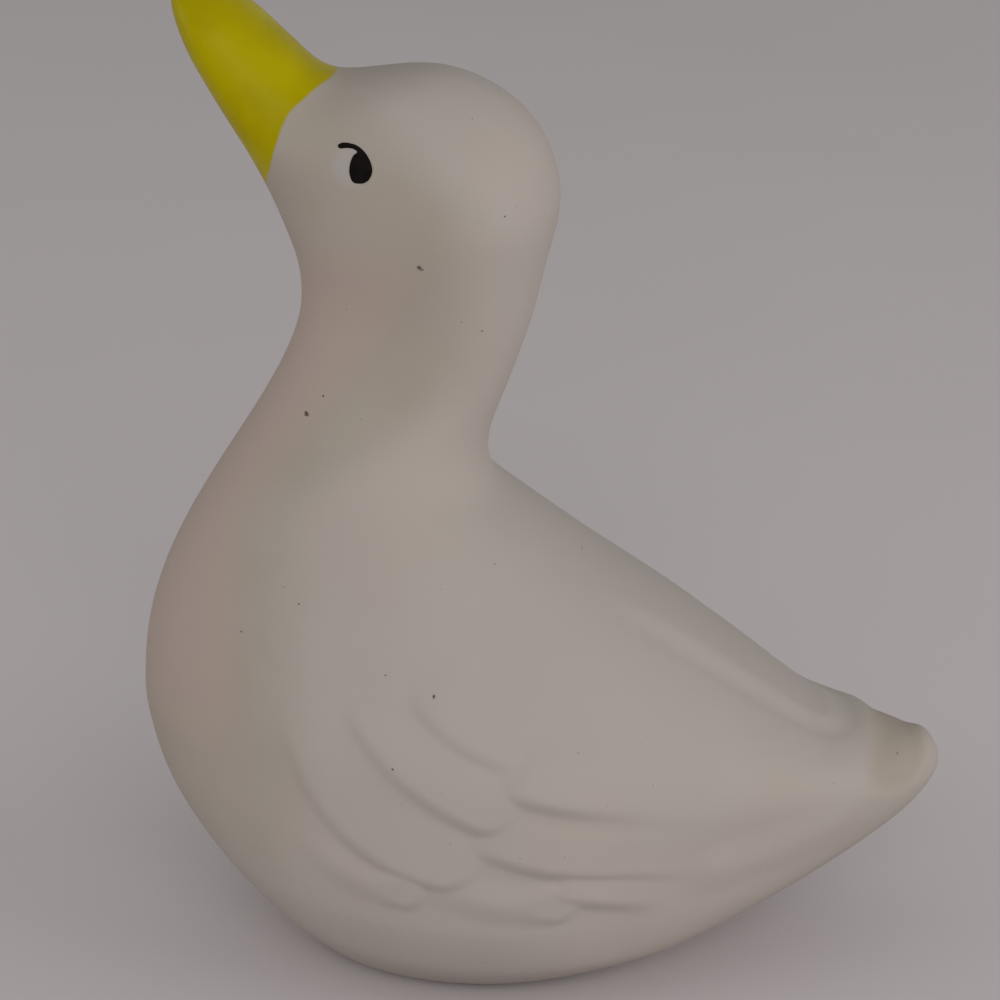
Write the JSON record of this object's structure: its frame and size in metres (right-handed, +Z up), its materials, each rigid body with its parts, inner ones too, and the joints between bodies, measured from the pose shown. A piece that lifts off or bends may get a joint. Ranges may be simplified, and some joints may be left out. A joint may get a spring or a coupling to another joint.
{
  "type": "duck figurine",
  "caption": "Duck figurine looking up, moulded in one hollow piece with folded wings and a flat base, to stand on a desk or shelf.",
  "frame": {"origin": "centre of the bounding box's bottom face, on the surface the duck stands on", "axes": "+Z up, -X the way the duck faces, -Y towards its left side"},
  "size_m": [0.0856, 0.0538, 0.1048],
  "materials": {
    "skin": "matte"
  },
  "bodies": {
    "root": {"duck": "skin"}
  },
  "joints": []
}
